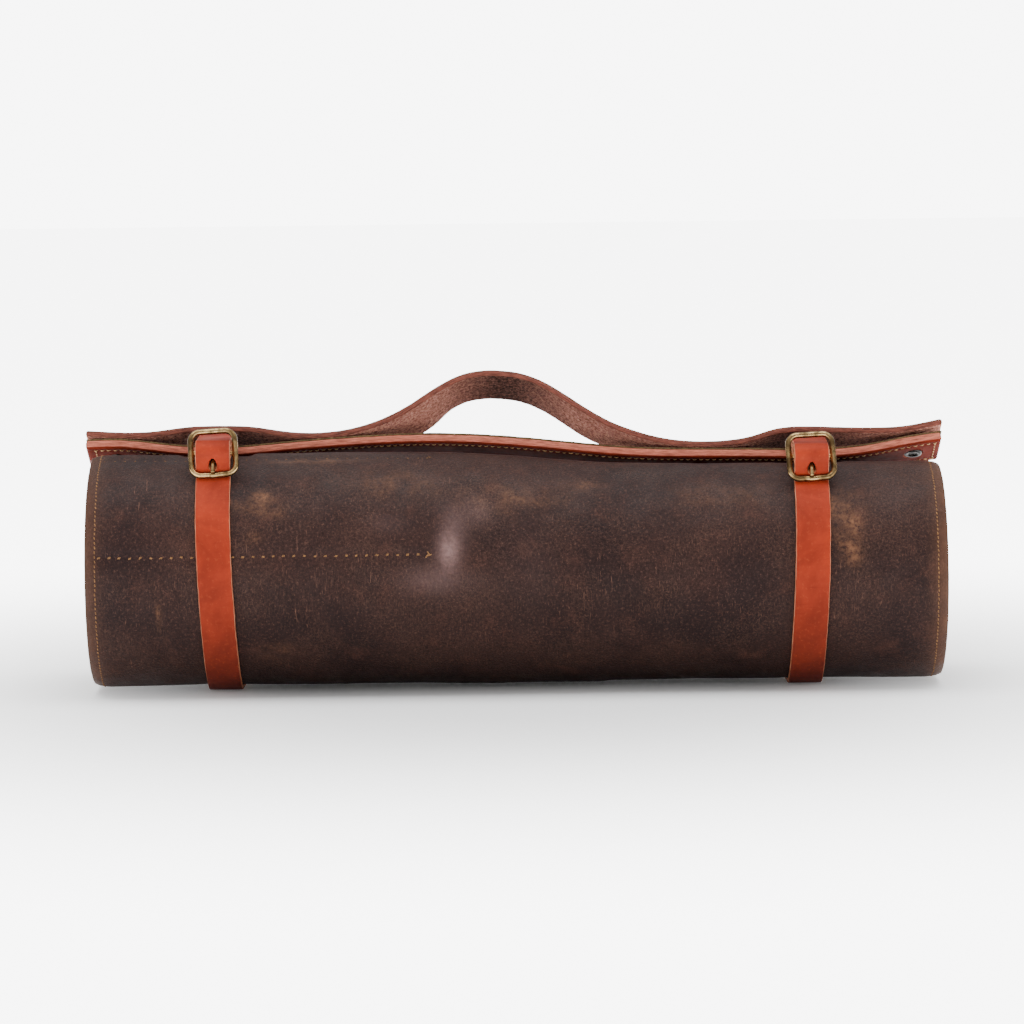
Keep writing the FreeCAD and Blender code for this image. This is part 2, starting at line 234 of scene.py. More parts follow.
def strip(name, centres, normals, across, half_width, thickness, columns, materials,
          bevel=0.5, back_bevel=0.3, relief=None, back_relief=None, fray=0.0, grain_round=3, shift=None):
    """A closed leather strip: grain face through the centres, facing along the normals, with rounded edges.

    relief(along, side) gives how far the whole thickness moves along the normal there, back_relief the same
    for the flesh face alone, fray how far a cut edge wanders, grain_round how many of the bevel's three bands
    the grain face covers, and shift a sideways move of each row. Returns the object, and where each of its
    points lies on the flat strip."""
    centres, normals = np.asarray(centres, float), np.asarray(normals, float)
    across = np.asarray(across, float)
    rows = len(centres)
    half = np.broadcast_to(np.asarray(half_width, float), (rows,)).copy()
    along = np.concatenate([[0.0], np.cumsum(np.linalg.norm(np.diff(centres, axis=0), axis=1))])
    edge = edge_profile(thickness, bevel, back_bevel)
    inner = max(bevel, back_bevel)
    share = np.linspace(-1, 1, columns + 1)
    # each profile point: side of the strip, share across, inset from the cut edge, depth
    profile = [(0.0, s, None, 0.0) for s in share]
    profile += [(1.0, None, inset, depth) for inset, depth in edge[1:-1]]
    profile += [(0.0, s, None, thickness) for s in share[::-1]]
    profile += [(-1.0, None, inset, depth) for inset, depth in edge[1:-1][::-1]]
    rim = [0] * grain_round + [2] * (len(edge) - 1 - grain_round)
    kinds = [0] * columns + rim + [1] * columns + rim[::-1]
    count = len(profile)
    side = np.zeros((rows, count))
    depth = np.zeros((rows, count))
    for j, (way, s, inset, d) in enumerate(profile):
        if s is not None:
            face_bevel = bevel if d == 0.0 else back_bevel
            side[:, j] = s * (half - face_bevel)
        else:
            side[:, j] = way * (half - inset)
        depth[:, j] = d
    for row in (0, -1):      # the ends are rounded too
        depth[row] = thickness / 2 + (depth[row] - thickness / 2) * END_CLOSE
    spot = np.stack([np.repeat(along[:, None], count, 1), side], axis=-1)
    if fray:
        wander = wobble(spot, 6.0, 3.1) * 0.6 + wobble(spot, 1.7, 8.2) * 0.4
        near_edge = bell(np.abs(side) - half[:, None], inner * 1.5)
        side = side + np.sign(side) * near_edge * fray * wander
    lift = np.zeros_like(side)
    if relief is not None:
        lift += relief(spot[..., 0], side)
    if back_relief is not None:
        lift += back_relief(spot[..., 0], side) * (depth / thickness)
    if shift is not None:
        side = side + np.asarray(shift)[:, None]
    verts = (centres[:, None, :] + normals[:, None, :] * (lift - depth)[..., None]
             + across[None, None, :] * side[..., None])
    lengths = np.zeros(count + 1)
    middle = rows // 2
    ring = verts[middle]
    lengths[1:] = np.cumsum(np.linalg.norm(np.diff(np.vstack([ring, ring[:1]]), axis=0), axis=1))
    lengths -= half[middle]
    faces, uvs, index = [], [], []
    for i in range(rows - 1):
        a, b, u0, u1 = i * count, (i + 1) * count, along[i] * MM, along[i + 1] * MM
        for j in range(count):
            k = (j + 1) % count
            faces.append((a + j, a + k, b + k, b + j))
            v0, v1 = lengths[j] * MM, lengths[j + 1] * MM
            uvs += [(u0, v0), (u0, v1), (u1, v1), (u1, v0)]
            index.append(kinds[j])
    start_back = columns + 1 + len(edge) - 2
    for base, u, flip in ((0, 0.0, True), ((rows - 1) * count, along[-1] * MM, False)):
        for j in range(columns):
            far = base + start_back + columns - j
            quad = [base + j, base + j + 1, far - 1, far]
            v0, v1, w = lengths[j] * MM, lengths[j + 1] * MM, thickness * MM
            corner = [(u, v0), (u, v1), (u + w, v1), (u + w, v0)]
            faces.append(quad[::-1] if flip else quad)
            uvs += corner[::-1] if flip else corner
            index.append(2)
        right = [base + columns + m for m in range(len(edge))]
        left = [base + (start_back + columns + m) % count for m in range(len(edge))]
        for loop in (right, left):
            faces.append(loop[::-1] if flip else loop)
            uvs += [(u, 0.0)] * len(loop)
            index.append(2)
    return new_object(name, verts.reshape(-1, 3), faces, uvs, index, materials), spot


def tube(name, points, radii, normal, closed, materials, sides=18, flat=1.0):
    """A wire along planar points. Its section is flat times as deep along the plane's normal as across."""
    points = np.asarray(points, float)
    radii = np.broadcast_to(np.asarray(radii, float), (len(points),))
    normal = np.asarray(normal, float)
    if closed:
        tangent = np.roll(points, -1, 0) - np.roll(points, 1, 0)
    else:
        tangent = np.gradient(points, axis=0)
    tangent /= np.linalg.norm(tangent, axis=1)[:, None]
    outward = np.cross(tangent, normal)
    turn = np.linspace(0, 2 * math.pi, sides, endpoint=False)
    verts = (points[:, None] + radii[:, None, None] * (np.cos(turn)[None, :, None] * outward[:, None]
             + flat * np.sin(turn)[None, :, None] * normal[None, None]))
    rows = len(points)
    faces = []
    for i in range(rows if closed else rows - 1):
        a, b = i * sides, (i + 1) % rows * sides
        faces += [(a + j, a + (j + 1) % sides, b + (j + 1) % sides, b + j) for j in range(sides)]
    if not closed:
        faces.append(tuple(range(sides))[::-1])
        faces.append(tuple((rows - 1) * sides + j for j in range(sides)))
    return new_object(name, verts.reshape(-1, 3), faces, materials=materials)


def turned(name, profile, centre, axis, materials, sides=48):
    """A turned piece: profile's (radius, height) pairs round an axis through centre, closed on the axis."""
    axis = Vector(axis).normalized()
    to_world = axis.to_track_quat("Z", "Y").to_matrix()
    verts, faces, rings = [], [], []
    for radius, height in profile:
        if radius < 1e-6:
            rings.append([len(verts)])
            verts.append(Vector((0, 0, height)))
        else:
            rings.append([len(verts) + k for k in range(sides)])
            for k in range(sides):
                a = 2 * math.pi * k / sides
                verts.append(Vector((radius * math.cos(a), radius * math.sin(a), height)))
    for low, high in zip(rings, rings[1:]):
        for k in range(sides):
            k2 = (k + 1) % sides
            quad = [low[k % len(low)], low[k2 % len(low)], high[k2 % len(high)], high[k % len(high)]]
            faces.append(tuple(dict.fromkeys(quad)))
    placed = [to_world @ v + Vector(centre) for v in verts]
    return new_object(name, [tuple(v) for v in placed], faces, materials=materials)


def apply_modifiers(obj):
    depsgraph = bpy.context.evaluated_depsgraph_get()
    mesh = bpy.data.meshes.new_from_object(obj.evaluated_get(depsgraph))
    old = obj.data
    obj.modifiers.clear()
    obj.data = mesh
    mesh.name = obj.name
    bpy.data.meshes.remove(old)


def combine(obj, others, operation):
    """Cuts the others out of obj, or unites them with it, and removes them."""
    for other in others:
        modifier = obj.modifiers.new(operation, "BOOLEAN")
        modifier.operation = operation
        modifier.solver = "EXACT"
        modifier.object = other
    apply_modifiers(obj)
    for other in others:
        mesh = other.data
        bpy.data.objects.remove(other)
        bpy.data.meshes.remove(mesh)


# ---- materials ----

def srgb(r, g, b):
    """Linear colour of an sRGB one given from 0 to 255."""
    channels = [c / 255 for c in (r, g, b)]
    return tuple(c / 12.92 if c <= 0.04045 else ((c + 0.055) / 1.055) ** 2.4 for c in channels) + (1.0,)


class Shader:
    """Small helper that builds the nodes of a material or a world from the inside out."""

    def __init__(self, name, kind=bpy.data.materials):
        self.owner = kind.new(name)
        self.owner.use_nodes = True
        self.tree = self.owner.node_tree
        self.bsdf = self.tree.nodes.get("Principled BSDF")
        self.bumps = None

    def node(self, kind, inputs=None, **settings):
        made = self.tree.nodes.new(kind)
        for key, value in settings.items():
            setattr(made, key, value)
        for key, value in (inputs or {}).items():
            self.put(made.inputs[key], value)
        return made

    def put(self, socket, value):
        if isinstance(value, bpy.types.NodeSocket):
            self.tree.links.new(value, socket)
        else:
            socket.default_value = value

    def lay(self, along=1.0, across=1.0, turn=0.0):
        """The strip's own flat coordinates in metres, scaled, after a turn in degrees."""
        uv = self.node("ShaderNodeUVMap", uv_map="lay").outputs[0]
        mapping = self.node("ShaderNodeMapping", {"Vector": uv, "Rotation": (0, 0, math.radians(turn)),
                                                  "Scale": (along, across, 1.0)})
        return mapping.outputs[0]

    def place(self):
        return self.node("ShaderNodeTexCoord").outputs["Object"]

    def attribute(self, name):
        return self.node("ShaderNodeAttribute", attribute_name=name).outputs["Fac"]

    def noise(self, vector, scale, detail=4.0, roughness=0.55, distortion=0.0):
        inputs = {"Vector": vector, "Scale": scale, "Detail": detail, "Roughness": roughness,
                  "Distortion": distortion}
        return self.node("ShaderNodeTexNoise", inputs).outputs["Fac"]

    def cells(self, vector, scale, feature="F1"):
        cells = self.node("ShaderNodeTexVoronoi", {"Vector": vector, "Scale": scale}, feature=feature)
        return cells.outputs["Distance"]

    def warped(self, vector, scale, amount):
        """The coordinates pushed about by noise, by up to about half the amount."""
        push = self.node("ShaderNodeTexNoise", {"Vector": vector, "Scale": scale, "Detail": 4.0})
        inputs = {0: push.outputs["Color"], 1: (amount,) * 3, 2: vector}
        return self.node("ShaderNodeVectorMath", inputs, operation="MULTIPLY_ADD").outputs[0]

    def band(self, value, low, high, out_low=0.0, out_high=1.0):
        return self.node("ShaderNodeMapRange", {"Value": value, "From Min": low, "From Max": high,
                                                "To Min": out_low, "To Max": out_high},
                         interpolation_type="SMOOTHSTEP").outputs[0]

    def math(self, operation, a, b):
        return self.node("ShaderNodeMath", {0: a, 1: b}, operation=operation).outputs[0]

    def times(self, a, b):
        return self.math("MULTIPLY", a, b)

    def mix(self, factor, a, b):
        """a turning into b as factor goes from 0 to 1. Each is a socket or an sRGB colour up to 255."""
        a, b = (srgb(*v) if isinstance(v, tuple) else v for v in (a, b))
        return self.node("ShaderNodeMix", {0: factor, 6: a, 7: b}, data_type="RGBA").outputs[2]

    def bump(self, height, strength, distance):
        inputs = {"Height": height, "Strength": strength, "Distance": distance * MM}
        if self.bumps is not None:
            inputs["Normal"] = self.bumps
        self.bumps = self.node("ShaderNodeBump", inputs).outputs[0]

    def finish(self, color, roughness, **uniform):
        self.put(self.bsdf.inputs["Base Color"], color)
        self.put(self.bsdf.inputs["Roughness"], roughness)
        for key, value in uniform.items():
            self.bsdf.inputs[key.replace("_", " ")].default_value = value
        if self.bumps is not None:
            self.tree.links.new(self.bumps, self.bsdf.inputs["Normal"])
        return self.owner


def worn_leather():
    """Dark waxed pull-up leather: faint clouds, short fine fibres, tan scuffs and crossing scratches, and a
    painted highlight by the dent.
    """
    s = Shader("dark_leather_grain")
    plane = s.lay()
    mottle = s.noise(plane, 17.0, 8.0, 0.66, 0.6)
    color = s.mix(s.band(mottle, 0.33, 0.68), (31, 18, 18), (51, 32, 28))
    cloud = s.noise(plane, 60.0, 8.0, 0.7, 0.4)
    color = s.mix(s.band(cloud, 0.52, 0.74, 0.0, 0.6), color, (76, 48, 40))
    grain = s.noise(plane, 760.0, 6.0, 0.75)
    color = s.mix(s.band(grain, 0.52, 0.66, 0.0, 0.55), color, (90, 62, 52))
    color = s.mix(s.band(grain, 0.49, 0.36, 0.0, 0.6), color, (21, 13, 12))
    bent = s.warped(s.warped(plane, 60.0, 0.014), 400.0, 0.003)
    creases = s.cells(bent, 520.0, "DISTANCE_TO_EDGE")
    patches = s.band(s.noise(plane, 26.0, 3.0), 0.40, 0.66, 0.05, 1.0)
    color = s.mix(s.times(s.band(creases, 0.12, 0.0, 0.0, 0.26), patches), color, (92, 66, 54))
    fine = s.cells(bent, 1100.0, "DISTANCE_TO_EDGE")
    color = s.mix(s.band(fine, 0.16, 0.0, 0.0, 0.55), color, (19, 12, 12))
    fibres = s.noise(s.lay(300.0, 2400.0), 1.0, 5.0, 0.65, 0.4)
    where = s.band(s.noise(plane, 34.0, 3.0), 0.42, 0.64, 0.05, 0.4)
    color = s.mix(s.times(s.band(fibres, 0.50, 0.74), where), color, (88, 64, 52))
    dark_fibres = s.noise(s.lay(420.0, 2600.0, 8.0), 1.0, 4.0, 0.6, 0.4)
    color = s.mix(s.band(dark_fibres, 0.52, 0.72, 0.0, 0.5), color, (23, 16, 16))
    for turn, seed in ((24.0, 0.9), (-38.0, 1.9), (71.0, 3.1)):
        line = s.noise(s.lay(110.0, 1300.0, turn), seed, 2.0, 0.5, 0.9)
        rare = s.band(s.noise(s.lay(turn=turn), 15.0 + seed, 2.0), 0.55, 0.66)
        mark = s.times(s.band(line, 0.66, 0.72), rare)
        color = s.mix(s.times(mark, 0.55), color, (112, 78, 64))
    grit = s.noise(plane, 420.0, 5.0, 0.7)
    scuff = s.times(s.attribute("scuff"), s.band(grit, 0.30, 0.66))
    color = s.mix(s.math("MINIMUM", scuff, 0.85), color, (118, 80, 56))
    # Painted highlight: a pale pinkish patch where light glints off the dent in the roll.
    color = s.mix(s.times(s.attribute("painted_highlight"), s.band(grit, 0.2, 0.7, 0.45, 0.95)),
                  color, (172, 138, 134))
    color = s.mix(s.times(s.attribute("border"), s.band(cloud, 0.3, 0.7, 0.5, 0.9)),
                  color, (92, 62, 46))
    pores = s.cells(s.lay(1.0, 1.2), 950.0)
    s.bump(pores, 0.4, 0.3)
    s.bump(s.band(creases, 0.0, 0.14), 0.25, 0.15)
    s.bump(s.noise(plane, 240.0, 7.0, 0.72), 0.6, 0.6)
    s.bump(s.noise(plane, 70.0, 4.0, 0.6, 0.6), 0.5, 1.2)
    s.bump(fibres, 0.2, 0.12)
    roughness = s.band(s.noise(plane, 60.0, 5.0), 0.3, 0.7, 0.42, 0.6)
    return s.finish(color, roughness, Specular_IOR_Level=0.09)


def suede(name, light, dark, depth=0.5, painted_shade_color=None):
    """A hide's flesh side: matt, with short nap that leans in patches, and painted shade where a shade colour
    is given.
    """
    s = Shader(name)
    plane = s.lay()
    nap = s.noise(plane, 700.0, 6.0, 0.75, 0.6)
    tufts = s.noise(plane, 190.0, 4.0, 0.6, 1.2)
    color = s.mix(s.band(nap, 0.34, 0.66), dark, light)
    color = s.mix(s.band(s.noise(plane, 35.0, 4.0), 0.3, 0.7, 0.0, 0.45), color, dark)
    # Painted shade under the handle's peak and in the gaps beside the straps.
    if painted_shade_color is not None:
        color = s.mix(s.times(s.attribute("painted_shade"), s.band(nap, 0.35, 0.65, 1.0, 0.8)), color, painted_shade_color)
    s.bump(nap, 0.8, depth)
    s.bump(tufts, 0.6, depth * 1.4)
    return s.finish(color, s.band(tufts, 0.3, 0.7, 0.82, 0.97), Specular_IOR_Level=0.04)


def cut_edge(name, light, dark, roughness=0.7):
    """A cut edge: layers of packed fibre that run along it."""
    s = Shader(name)
    layers = s.noise(s.lay(160.0, 2600.0), 1.0, 5.0, 0.65, 0.3)
    grit = s.noise(s.lay(), 900.0, 4.0, 0.7)
    color = s.mix(s.band(layers, 0.34, 0.66), dark, light)
    color = s.mix(s.band(grit, 0.5, 0.8, 0.0, 0.5), color, dark)
    s.bump(layers, 0.5, 0.3)
    s.bump(grit, 0.5, 0.25)
    return s.finish(color, roughness, Specular_IOR_Level=0.06)


def smooth_leather(name, mid, dark, light, roughness, shine, painted_low_shade=None):
    """Vegetable-tanned leather: even colour with cloudy darker handling, fine pores and hairline creases, and
    painted shade where a shade colour is given.
    """
    s = Shader(name)
    plane = s.lay()
    cloud = s.noise(plane, 45.0, 5.0, 0.6, 0.4)
    color = s.mix(s.band(cloud, 0.35, 0.70, 0.0, 0.8), mid, dark)
    # Painted shade where the strap's mask says: its lower part, which the overhead light reaches less.
    if painted_low_shade is not None:
        color = s.mix(s.attribute("painted_low_shade"), color, painted_low_shade)
    speck = s.noise(plane, 520.0, 4.0, 0.7)
    color = s.mix(s.band(speck, 0.52, 0.75, 0.0, 0.35), color, light)
    crease = s.noise(s.lay(620.0, 70.0), 1.0, 4.0, 0.6, 0.5)
    color = s.mix(s.band(crease, 0.60, 0.72, 0.0, 0.5), color, dark)
    pores = s.cells(s.lay(1.0, 1.1), 1300.0)
    s.bump(pores, 0.16, 0.16)
    s.bump(s.noise(plane, 380.0, 5.0, 0.6), 0.2, 0.22)
    s.bump(crease, 0.15, 0.15)
    return s.finish(color, s.band(cloud, 0.3, 0.7, roughness, roughness + 0.14), Specular_IOR_Level=shine)


def antique_brass():
    s = Shader("antique_brass")
    here = s.place()
    patina = s.noise(here, 150.0, 4.0, 0.55, 0.4)
    color = s.mix(s.band(patina, 0.36, 0.62), (166, 138, 94), (84, 66, 42))
    color = s.mix(s.band(s.noise(here, 900.0, 5.0, 0.7), 0.5, 0.72, 0.0, 0.6), color, (48, 38, 26))
    s.bump(s.noise(here, 700.0, 4.0, 0.6), 0.12, 0.12)
    return s.finish(color, s.band(patina, 0.35, 0.65, 0.2, 0.36), Metallic=1.0)


def black_steel():
    s = Shader("blackened_steel")
    here = s.place()
    rub = s.noise(here, 500.0, 5.0, 0.65, 0.4)
    color = s.mix(s.band(rub, 0.45, 0.7), (46, 45, 44), (112, 106, 98))
    s.bump(rub, 0.12, 0.1)
    return s.finish(color, s.band(rub, 0.4, 0.7, 0.3, 0.48), Metallic=1.0)


def thread(name, color, shade):
    s = Shader(name)
    here = s.place()
    ply = s.noise(here, 2600.0, 3.0, 0.6)
    mixed = s.mix(s.band(ply, 0.35, 0.65), shade, color)
    s.bump(ply, 0.7, 0.2)
    return s.finish(mixed, 0.75, Specular_IOR_Level=0.25)


DARK_GRAIN = worn_leather()
DARK_FLESH = suede("dark_leather_flesh", (104, 72, 54), (60, 40, 31))
DARK_EDGE = cut_edge("dark_leather_edge", (112, 74, 56), (58, 38, 30), 0.55)
POCKET_GRAIN = suede("pocket_leather_face", (120, 86, 62), (76, 52, 36))
# The strap's last colour is painted shade for its lower part.
STRAP_GRAIN = smooth_leather("strap_leather_grain", (141, 47, 27), (103, 34, 22), (166, 69, 41), 0.42, 0.04,
                             (58, 30, 25))
STRAP_FLESH = suede("strap_leather_flesh", (190, 120, 88), (140, 78, 52), 0.35)
STRAP_EDGE = cut_edge("strap_leather_edge", (190, 126, 96), (140, 76, 52))
BASE_GRAIN = smooth_leather("base_leather_grain", (100, 32, 18), (66, 22, 14), (128, 54, 32), 0.45, 0.02)
BASE_EDGE = cut_edge("base_leather_edge", (186, 106, 86), (112, 62, 50))
LINING = suede("lining_suede", (100, 80, 54), (58, 44, 30), 0.4)
HANDLE_GRAIN = smooth_leather("handle_leather_grain", (98, 52, 40), (60, 32, 25), (124, 74, 58), 0.38, 0.08)
# The handle flesh's last colour is painted shade, under its peak and beside the straps.
HANDLE_FLESH = suede("handle_leather_flesh", (216, 150, 130), (104, 60, 50), 0.8, (22, 12, 10))
HANDLE_EDGE = cut_edge("handle_leather_edge", (118, 66, 54), (64, 35, 29), 0.5)
BRASS = antique_brass()
STEEL = black_steel()
TAN_THREAD = thread("tan_thread", (138, 98, 58), (82, 55, 33))
CREAM_THREAD = thread("cream_thread", (200, 160, 116), (132, 98, 66))


# ---- the roll ----

def at(radius, angle):
    """(y, z) at a distance and angle round the roll's axis."""
    a = np.radians(angle)
    return -radius * np.sin(a), AXIS_Z + radius * np.cos(a)


def sheet_radius(t):
    """Outer radius of the wound sheet, t turns in from its free edge."""
    angle = FREE_EDGE_ANGLE + 360.0 * t
    radius = ROLL_RADIUS - OVERLAP_STEP * smooth((t - 0.92) / 0.08)
    radius -= (TURN_PITCH - OVERLAP_STEP) * smooth((t - 1.0) / 0.3)
    radius -= TURN_PITCH * smooth((t - 2.0) / 0.25)
    if t < 1.0:
        radius -= SEAT_DEPTH * bell(angle - CARRIER_ANGLE, SEAT_SPREAD)
        off_foot = math.radians(angle - 180.0)
        if abs(off_foot) < math.pi / 3:
            radius = min(radius, (ROLL_RADIUS - FOOT_FLAT) / math.cos(off_foot))
    return float(radius)


def turns_list(start, end, fine, coarse):
    """Turns from start to end: steps of fine in the first, visible turn and of coarse further in."""
    turns = [start]
    while turns[-1] < end - 1e-6:
        turns.append(min(end, turns[-1] + (fine if turns[-1] < 1.0 else coarse)))
    return np.array(turns)


def wound(turns, depth):
    """Centres and normals along the wound sheet, at that depth under its outer face."""
    angle = FREE_EDGE_ANGLE + 360.0 * turns
    radius = np.array([sheet_radius(t) for t in turns]) - depth
    y, z = at(radius, angle)
    a = np.radians(angle)
    centres = np.column_stack([np.zeros_like(y), y, z])
    normals = np.column_stack([np.zeros_like(a), -np.sin(a), np.cos(a)])
    return centres, normals


DIVIDER_ANGLES = [FREE_EDGE_ANGLE + 360.0 * t for t in POCKET_SEAMS[:3]]
DIVIDER_END = PANEL_X[1]
EDGE_SEAM_INSET = 4.8


def sheet_relief(x, angle):
    """How far the outer turn stands out from its plain shape: pocket bulges, seams, dents and slack."""
    x, angle = np.asarray(x, float), np.asarray(angle, float)
    spot = np.stack([x, angle * 0.95, np.full_like(x, 5.0)], axis=-1)
    out = 0.55 * wobble(spot, 62.0) + 0.22 * wobble(spot, 23.0, 4.0) + 0.07 * wobble(spot, 9.0, 9.0)
    seat = bell(angle - CARRIER_ANGLE, SEAT_SPREAD)
    out = out - slim(x) * (1 - (SEAT_DEPTH - SLIM_SEAT_DEPTH) / SLIMMER * seat)
    pockets = smooth((DIVIDER_END + 4.0 - x) / 26.0)
    for low, high in zip(DIVIDER_ANGLES, DIVIDER_ANGLES[1:]):
        inside = np.clip((angle - low) / (high - low), 0, 1)
        out = out + 0.7 * pockets * np.sin(math.pi * inside)
    sewn = smooth((DIVIDER_END + 3.0 - x) / 6.0) * smooth((x + ROLL_END - 2.0) / 4.0)
    for seam in DIVIDER_ANGLES:
        out = out - 0.65 * sewn * bell((angle - seam) * 0.95, 2.6)
    out = out + 1.4 * smooth((130.0 - x) / 150.0) * bell(angle - 3.0, 11.0)
    dent = bell(x + 27.0, 10.0) * bell(angle - 73.0, 19.0)
    fold = bell(x + 41.0, 9.0) * bell(angle - 68.0, 26.0)
    out = out - 1.7 * dent + 0.8 * fold
    out = out - 0.9 * bell(x - 70.0, 60.0) * bell(angle - 150.0, 20.0)
    out = out + 0.9 * smooth((46.0 - x) / 10.0) * smooth((x + 60.0) / 40.0) * bell(angle - 182.0, 22.0)
    for side in (-1, 1):
        off_end = ROLL_END - side * x
        out = out - 0.35 * bell(off_end - EDGE_SEAM_INSET, 1.1)
        out = out - 1.5 * bell(off_end, 2.6)
    for side in ("left", "right"):
        off = np.abs(x - strap_middle(side))
        out = out - 0.35 * bell(off, 11.0)
        out = np.minimum(out, 0.15 - slim(x) + 3.0 * smooth((off - 14.5) / 9.0))
    return out


def sink(obj):
    """Lowers the roll's slimmer part with its axis."""
    co = np.empty(len(obj.data.vertices) * 3)
    obj.data.vertices.foreach_get("co", co)
    co[2::3] -= slim(co[0::3] / MM) * MM
    obj.data.vertices.foreach_set("co", co)
    obj.data.update()


def outer_sheet():
    turns = turns_list(0.0, SHEET_TURNS, 0.0052, 0.0125)
    centres, normals = wound(turns, 0.0)
    angles = FREE_EDGE_ANGLE + 360.0 * turns
    fade = 1.0 - smooth((turns - 0.88) / 0.1)

    def relief(along, side):
        angle = np.repeat(angles[:, None], side.shape[1], 1)
        return sheet_relief(side, angle) * fade[:, None] - slim(side) * (1 - fade[:, None])

    obj, spot = strip("outer_sheet_leather", centres, normals, (1, 0, 0), ROLL_END, SHEET_T, 230,
                      (DARK_GRAIN, DARK_FLESH, DARK_EDGE), bevel=0.8, back_bevel=0.4, relief=relief,
                      fray=0.12)
    sink(obj)
    x = spot[..., 1]
    angle = np.repeat(angles[:, None], x.shape[1], 1)
    border = np.maximum(0.5 * bell(x + ROLL_END, 5.6), 0.8 * bell(x - ROLL_END, 6.4))
    border = np.maximum(border, 0.7 * bell(angle - FREE_EDGE_ANGLE, 5.0))

    def marked(marks):
        """Marks are: middle along the roll, middle angle, the spreads of both, strength."""
        return sum(strength * bell(x - mx, sx) * bell(angle - ma, sa) for mx, ma, sx, sa, strength in marks)

    scuffs = [
        (153.0, 55.0, 6.5, 13.0, 1.0), (155.0, 74.0, 5.0, 7.0, 0.9), (146.0, 50.0, 3.0, 9.0, 0.8),
        (-134.0, 51.0, 6.0, 3.0, 0.9), (-146.0, 54.0, 5.0, 2.5, 0.6), (-118.0, 47.0, 5.0, 5.0, 0.8),
        (-116.0, 54.0, 7.0, 4.0, 0.8), (-95.0, 17.0, 16.0, 3.0, 0.8), (-166.0, 107.0, 1.0, 5.0, 1.0),
        (-122.0, 69.0, 3.0, 3.0, 0.6), (30.0, 33.0, 9.0, 4.0, 0.45), (-2.0, 46.0, 22.0, 8.0, 0.4),
        (-58.0, 38.0, 20.0, 9.0, 0.35), (-112.0, 128.0, 7.0, 5.0, 0.4), (95.0, 40.0, 26.0, 9.0, 0.25),
        (60.0, -60.0, 30.0, 9.0, 0.5), (-90.0, 230.0, 24.0, 14.0, 0.4), (120.0, 250.0, 18.0, 12.0, 0.5)]
    ragged = 0.5 + 0.9 * wobble(np.stack([x, angle, np.zeros_like(x)], axis=-1), 7.0, 2.0)
    # Painted highlights at the dent and round it, given as marks of the same kind as the scuffs.
    highlight_marks = [(-31.5, 76.0, 4.5, 8.0, 0.38), (-29.0, 64.0, 6.0, 12.0, 0.13), (-18.0, 55.0, 7.0, 8.0, 0.08),
             (-38.0, 90.0, 15.0, 7.0, 0.12), (-60.0, 62.0, 9.0, 5.0, 0.04), (6.0, 80.0, 12.0, 18.0, 0.02)]
    paint(obj, "scuff", np.clip(marked(scuffs) * ragged, 0, 1))
    paint(obj, "painted_highlight", np.clip(marked(highlight_marks), 0, 1))
    paint(obj, "border", np.clip(border, 0, 1))
    stands_for(obj, "outer_sheet", "roll")
    return obj


def sewn_panel(node, turns, ends, thickness, columns, relief):
    """A panel on the sheet's inner face, over those turns and between two ends along the roll."""
    centres, normals = wound(turns, SHEET_T + SEWN_GAP)
    centres[:, 0] = sum(ends) / 2
    obj, _ = strip(f"{node}_leather", centres, normals, (1, 0, 0), (ends[1] - ends[0]) / 2, thickness,
                   columns, (POCKET_GRAIN, POCKET_GRAIN, DARK_EDGE), bevel=0.4, back_bevel=0.4,
                   relief=relief, fray=0.15)
    stands_for(obj, node, "roll")
    return obj


def pocket_panel():
    turns = turns_list(POCKET_SEAMS[0], POCKET_SEAMS[-1], 0.0125, 0.0125)
    share = np.zeros(len(turns))
    for low, high in zip(POCKET_SEAMS, POCKET_SEAMS[1:]):
        inside = (turns >= low) & (turns <= high)
        share[inside] = np.sin(math.pi * (turns[inside] - low) / (high - low))

    def relief(along, side):
        x = side + sum(PANEL_X) / 2
        room = POCKET_ROOM * np.clip((x - PANEL_X[0]) / POCKET_TAPER, 0, 1)
        loose = 0.35 * wobble(np.stack([x, along], axis=-1), 26.0, 6.0)
        return -share[:, None] * (room + np.clip(loose, -0.3, 0.5))

    sewn_panel("pocket_panel", turns, PANEL_X, PANEL_T, 70, relief)


def inner_flap():
    reach = (FLAP_X[1] - FLAP_X[0]) / 2

    def relief(along, side):
        slack = 0.5 + 0.5 * wobble(np.stack([side, along], axis=-1), 40.0, 3.0)
        return -SLIMMER - 1.4 * np.clip(slack, 0, 1) * smooth((reach - side) / 30.0)

    turns = turns_list(*FLAP_TURNS, 0.0125, 0.0125)
    sink(sewn_panel("inner_flap", turns, FLAP_X, FLAP_T, 60, relief))


# ---- stitches ----

def thread_form(rings=7, sides=8):
    """A short arched thread, one unit long, wide and high, that dives into the leather at both ends."""
    verts, faces = [], []
    for i in range(rings):
        s = -1 + 2 * i / (rings - 1)
        girth = math.sqrt(max(0.04, 1 - s ** 4))
        for j in range(sides):
            a = 2 * math.pi * j / sides
            arch = (1 - s * s) * 0.7 - 0.25
            verts.append((s / 2, math.cos(a) * girth / 2, arch + math.sin(a) * girth * 0.45))
    for i in range(rings - 1):
        for j in range(sides):
            k = (j + 1) % sides
            faces.append((i * sides + j, i * sides + k, (i + 1) * sides + k, (i + 1) * sides + j))
    faces += [tuple(range(sides))[::-1], tuple((rings - 1) * sides + j for j in range(sides))]
    return np.array(verts), faces


